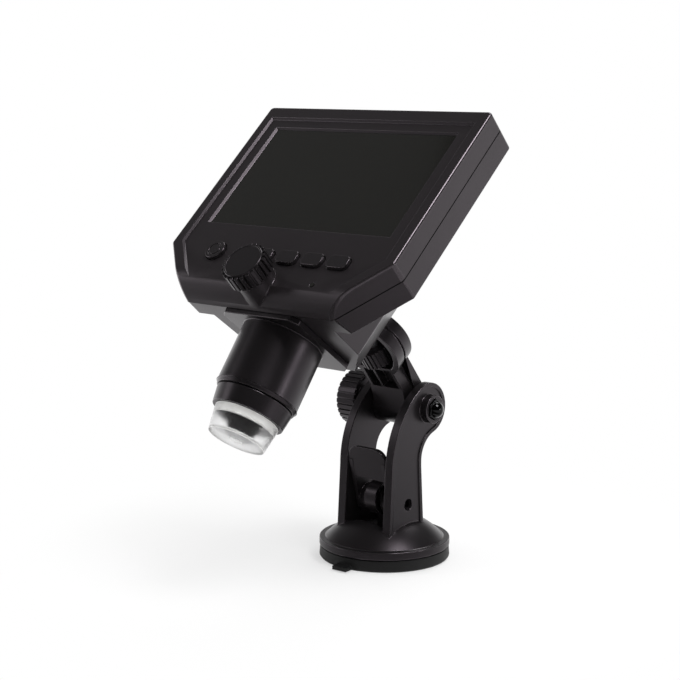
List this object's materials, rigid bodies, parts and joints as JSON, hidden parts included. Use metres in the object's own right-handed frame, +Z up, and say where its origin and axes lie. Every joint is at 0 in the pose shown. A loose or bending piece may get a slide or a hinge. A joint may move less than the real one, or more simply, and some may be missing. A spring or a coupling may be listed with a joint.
{
  "type": "digital microscope",
  "caption": "Digital microscope: tilted screen head with a focus knob, camera barrel and clear cap, on a jointed arm over a suction-cup stand.",
  "frame": {"origin": "centre of the suction cup's underside, on the table", "axes": "+X to the viewer's right along the tilt bolt, +Y away from the viewer, +Z up"},
  "size_m": [0.1174, 0.1263, 0.1892],
  "materials": {
    "housing": "fine satin moulding texture",
    "keys": "smooth satin",
    "barrel_black": "satin",
    "screen_glass": "polished, dark from behind",
    "display": "dark panel",
    "board": "solder mask",
    "cell": "foil pouch",
    "chip": "polished",
    "bare_steel": "plated",
    "bright_steel": "polished",
    "brass": "machined",
    "clear_plastic": "clear, polished",
    "lamp": "phosphor",
    "lens_glass": "polished",
    "rubber": "smooth"
  },
  "bodies": {
    "base": {"base_body": "housing", "clamp_bolt": "bright_steel", "lever_pin": "bare_steel", "suction_cup": "rubber"},
    "clamp_knob": {"clamp_knob": "housing"},
    "lever": {"lever": "housing"},
    "plunger": {"plunger": "barrel_black"},
    "arm": {"arm_front": "housing", "arm_cover": "housing", "arm_screws": "bare_steel"},
    "wheel": {"thumb_wheel": "barrel_black", "clamp_stud": "bare_steel"},
    "head": {"front_shell": "housing", "rear_shell": "housing", "screen_window": "screen_glass", "lcd_panel": "display", "main_board": "board", "battery": "cell", "tact_switches": "bare_steel", "usb_socket": "bare_steel", "card_socket": "bare_steel", "board_screws": "bare_steel", "shell_screws": "bare_steel", "indicator_lens": "clear_plastic", "tripod_bush": "brass", "barrel": "barrel_black", "barrel_screws": "bare_steel", "nose_ring": "barrel_black", "light_board": "board", "light_leds": "lamp", "sensor_board": "board", "sensor_chip": "chip", "sensor_screws": "bare_steel"},
    "focus": {"focus_knob": "barrel_black", "focus_shaft": "bare_steel", "focus_pinion": "brass"},
    "lens_unit": {"lens_carriage": "barrel_black", "front_lens": "lens_glass", "rear_lens": "lens_glass"},
    "cap": {"clear_cap": "clear_plastic"},
    "power_button": {"power_button": "keys"},
    "key_one": {"key_one": "keys"},
    "key_two": {"key_two": "keys"},
    "key_three": {"key_three": "keys"},
    "key_four": {"key_four": "keys"}
  },
  "joints": [
    {"name": "arm_tilt", "type": "hinge", "parent": "base", "child": "arm", "pos_m": [0, 0.012, 0.0637], "axis": [1, 0, 0], "range_deg": [-45, 30]},
    {"name": "head_swivel", "type": "hinge", "parent": "arm", "child": "head", "pos_m": [0, -0.01776, 0.1053], "axis": [0, -0.617, 0.7869], "range_deg": [-170, 170]},
    {"name": "thumb_wheel_turn", "type": "hinge", "parent": "arm", "child": "wheel", "pos_m": [0, -0.01776, 0.1053], "axis": [0, -0.617, 0.7869], "continuous": true},
    {"name": "clamp_knob_turn", "type": "hinge", "parent": "base", "child": "clamp_knob", "pos_m": [0, 0.012, 0.0637], "axis": [1, 0, 0], "continuous": true},
    {"name": "lever_turn", "type": "hinge", "parent": "base", "child": "lever", "pos_m": [0, -0.0013, 0.0244], "axis": [1, 0, 0], "range_deg": [0, 80]},
    {"name": "plunger_slide", "type": "slide", "parent": "base", "child": "plunger", "axis": [0, 0, 1], "range_m": [-0.00124, 0]},
    {"name": "focus_turn", "type": "hinge", "parent": "head", "child": "focus", "pos_m": [0, -0.07585, 0.12424], "axis": [0, -0.6704, 0.742], "range_deg": [-20, 181]},
    {"name": "lens_slide", "type": "slide", "parent": "head", "child": "lens_unit", "axis": [0, 0.5948, 0.8039], "range_m": [-0.001, 0.0096]},
    {"name": "cap_pull", "type": "slide", "parent": "head", "child": "cap", "axis": [0, -0.5948, -0.8039], "range_m": [0, 0.012]},
    {"name": "power_button_press", "type": "slide", "parent": "head", "child": "power_button", "axis": [0, 0.6704, -0.742], "range_m": [0, 0.0004], "stiffness_N_per_m": 400, "springref_m": -0.0002},
    {"name": "key_one_press", "type": "slide", "parent": "head", "child": "key_one", "axis": [0, 0.6704, -0.742], "range_m": [0, 0.0004], "stiffness_N_per_m": 400, "springref_m": -0.0002},
    {"name": "key_two_press", "type": "slide", "parent": "head", "child": "key_two", "axis": [0, 0.6704, -0.742], "range_m": [0, 0.0004], "stiffness_N_per_m": 400, "springref_m": -0.0002},
    {"name": "key_three_press", "type": "slide", "parent": "head", "child": "key_three", "axis": [0, 0.6704, -0.742], "range_m": [0, 0.0004], "stiffness_N_per_m": 400, "springref_m": -0.0002},
    {"name": "key_four_press", "type": "slide", "parent": "head", "child": "key_four", "axis": [0, 0.6704, -0.742], "range_m": [0, 0.0004], "stiffness_N_per_m": 400, "springref_m": -0.0002}
  ],
  "couplings": [
    {"joint": "lever_turn", "follows": "plunger_slide", "rad_per_m": -1126.4},
    {"joint": "focus_turn", "follows": "lens_slide", "rad_per_m": 326.76}
  ]
}
